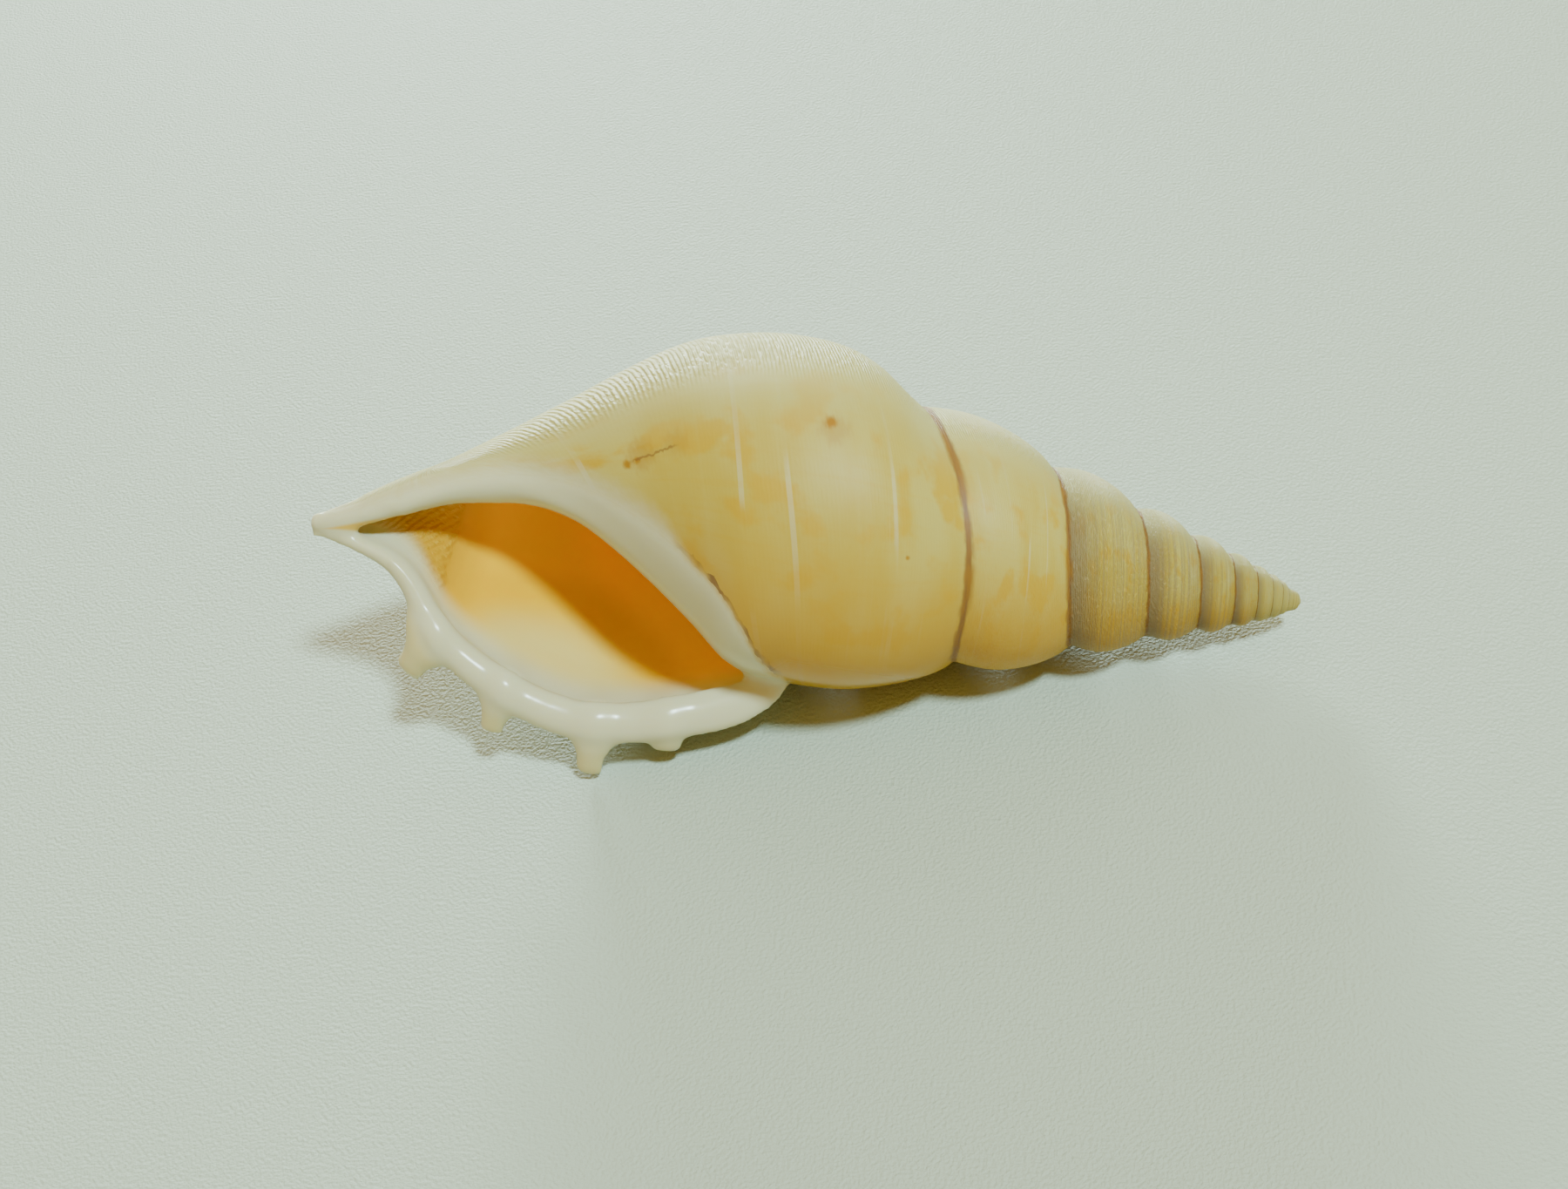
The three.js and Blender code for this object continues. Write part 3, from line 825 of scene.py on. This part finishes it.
def groove_colour(tree, point, colour):
    """The groove of the canal stays golden as it thins out towards the tip."""
    (begin, low), (end, high) = GROOVE
    from_begin = math_node(tree, "SUBTRACT", point.along, begin)
    middle = math_node(tree, "MULTIPLY_ADD", from_begin, (high - low) / (end - begin), low)
    wide = math_node(tree, "MULTIPLY_ADD", from_begin, -GROOVE_WIDTH / (end - begin), GROOVE_WIDTH)
    aside = math_node(tree, "ABSOLUTE", math_node(tree, "SUBTRACT", point.side, middle))
    within = ramp(tree, math_node(tree, "SUBTRACT", aside, wide), 0.25, -0.25)
    masks = (within, ramp(tree, point.along, begin, begin + 2), ramp(tree, point.front, 0, 1))
    return lay(tree, colour, GROOVE_GOLD, *masks, 0.85)


def shell_colour(tree, point, mouth):
    uneven = ramp(tree, pattern(tree, point, 12, 22, 40, 4), 0.3, 0.65)
    colour = spire_colour(tree, point, body_colour(tree, point))
    # the side away from the lip is lighter: partly the shell's own tone, partly painted light on the top
    colour = lay(tree, colour, TOP_TONE_AND_LIGHT, ramp(tree, point.under, -0.35, -0.95), 0.75)
    colour = seam_colour(tree, point, colour, uneven)
    colour = stains(tree, point, colour)
    colour = callus_colour(tree, point, colour, uneven)
    colour = lay(tree, colour, mouth, point.inside)
    return groove_colour(tree, point, lip_colour(tree, point, colour))


def polish(tree, point):
    """A mask of the smooth places: the mouth, the layer beside it and the rim."""
    smooth_places = (
        ramp(tree, point.inside, 0, 0.3), ramp(tree, point.callus, -1, 1),
        ramp(tree, point.beyond_rim, -4.8, -2.6))
    mask = smooth_places[0]
    for other in smooth_places[1:]:
        mask = math_node(tree, "MAXIMUM", mask, other)
    return mask


def shell_relief(tree, point, polished):
    """Fine cords round the spiral, strongest on the side away from the lip and on young whorls."""
    open_side = math_node(
        tree, "MAXIMUM", ramp(tree, point.under, -0.72, -0.95), ramp(tree, point.front, 0, -6))
    strength = math_node(tree, "MAXIMUM", open_side, ramp(tree, point.turn, -1.6, -2.8))
    strength = math_node(tree, "MULTIPLY_ADD", strength, 0.95, 0.03)
    strength = times(tree, strength, math_node(tree, "SUBTRACT", 1.0, polished))
    wander = math_node(tree, "MULTIPLY", pattern(tree, point, 14, 26, 60), 5)
    wave = math_node(tree, "MULTIPLY_ADD", point.across, CORDS * math.tau, wander)
    uneven = pattern(tree, point, 45, 90, 2)
    cords = times(tree, math_node(tree, "SINE", wave), ramp(tree, uneven, 0.3, 0.6))
    height = math_node(tree, "ADD", cords, math_node(tree, "MULTIPLY", uneven, 4))
    return bump(tree, times(tree, height, strength), CORD_STRENGTH, CORD_HEIGHT)


def shell_material():
    material = bpy.data.materials.new("shell")
    tree = node_tree(material)
    point = point_on_shell(tree)
    mouth, polished = mouth_colour(tree, point), polish(tree, point)
    surface = tree.nodes.new("ShaderNodeBsdfPrincipled")
    put(tree, surface, "Base Color", shell_colour(tree, point, mouth))
    put(tree, surface, "Normal", shell_relief(tree, point, polished))
    put(tree, surface, "Roughness", math_node(tree, "MULTIPLY_ADD", polished, POLISHED - SATIN, SATIN))
    put(tree, surface, "Emission Color", mouth)
    put(tree, surface, "Emission Strength", times(tree, point.inside, GLOW))
    put(tree, surface, "Specular IOR Level", SHINE)
    put(tree, surface, "Subsurface Weight", LET_IN)
    put(tree, surface, "Subsurface Radius", LIGHT_REACH_BY_COLOUR)
    put(tree, surface, "Subsurface Scale", LIGHT_REACH)
    finish(tree, surface)
    return material


shell.data.materials.clear()
shell.data.materials.append(shell_material())


# Floor, light and camera. The lamp's direction follows the shadows in the photo, the two windows
# light the far edge, and the warm surroundings fill the shadows.
FLOOR_SIZE = 6
FLOOR_COLOUR = (0.385, 0.472, 0.388)
FLOOR_ROUGHNESS = 0.7
GRAIN, GRAIN_STRENGTH, GRAIN_DEPTH = 1900, 0.6, 0.0006
SURROUNDINGS, SURROUNDINGS_STRENGTH = (1.0, 0.55, 0.14), 0.8
WINDOW = {"place": (-0.35, 0.8, 1.0), "size": 0.45, "power": 2.5, "colour": (0.68, 0.97, 1.0)}
LOW_WINDOW = {"place": (-0.4, 1.2, 0.24), "size": 0.35, "power": 40, "colour": (0.80, 0.98, 0.97)}
LAMP = {"place": (0.42, -0.27, 1.0), "angle": 0.14, "strength": 5.2, "colour": (0.72, 0.97, 0.98)}


def floor():
    bpy.ops.mesh.primitive_plane_add(size=FLOOR_SIZE)
    plane = bpy.context.object
    plane.name = "floor"
    material = bpy.data.materials.new("floor")
    tree = node_tree(material)
    surface = tree.nodes.new("ShaderNodeBsdfPrincipled")
    put(tree, surface, "Base Color", (*FLOOR_COLOUR, 1))
    put(tree, surface, "Roughness", FLOOR_ROUGHNESS)
    grain = noise(tree, tree.nodes.new("ShaderNodeTexCoord").outputs["Object"], GRAIN)
    put(tree, surface, "Normal", bump(tree, grain, GRAIN_STRENGTH, GRAIN_DEPTH))
    finish(tree, surface)
    plane.data.materials.append(material)


def hang(name, light, place):
    """Hangs a light at a place, turned towards the middle of the floor."""
    lamp = bpy.data.objects.new(name, light)
    lamp.location = place
    lamp.rotation_euler = (-Vector(place)).to_track_quat("-Z", "Y").to_euler()
    bpy.context.scene.collection.objects.link(lamp)


def window(name, place, size, power, colour):
    light = bpy.data.lights.new(name, "AREA")
    light.size, light.energy, light.color = size, power, colour
    hang(name, light, place)


def distant_lamp(name, place, angle, strength, colour):
    light = bpy.data.lights.new(name, "SUN")
    light.angle, light.energy, light.color = angle, strength, colour
    hang(name, light, place)


def surroundings(colour, strength):
    made = bpy.data.worlds.new("world")
    made.use_nodes = True
    background = made.node_tree.nodes["Background"]
    background.inputs["Color"].default_value = (*colour, 1)
    background.inputs["Strength"].default_value = strength
    bpy.context.scene.world = made


def camera():
    """The photo's view: square to the plane of the mouth, with the spire's tip a little lower."""
    turned, shift = own_to_world()
    data = bpy.data.cameras.new("camera")
    data.sensor_width, data.lens = SENSOR, SENSOR * FOCAL / PICTURE_WIDTH
    made = bpy.data.objects.new("camera", data)
    target = turned @ Vector(VIEW_TARGET) + shift
    facing = turned @ Matrix.Rotation(math.atan(VIEW_SLOPE), 3, "Z")
    place = (target + facing @ Vector((0, 0, VIEW_DISTANCE))) / MM_PER_M
    made.matrix_world = Matrix.Translation(place) @ facing.to_4x4()
    bpy.context.scene.collection.objects.link(made)
    bpy.context.scene.camera = made


floor()
surroundings(SURROUNDINGS, SURROUNDINGS_STRENGTH)
window("window", **WINDOW)
window("low_window", **LOW_WINDOW)
distant_lamp("lamp", **LAMP)
camera()
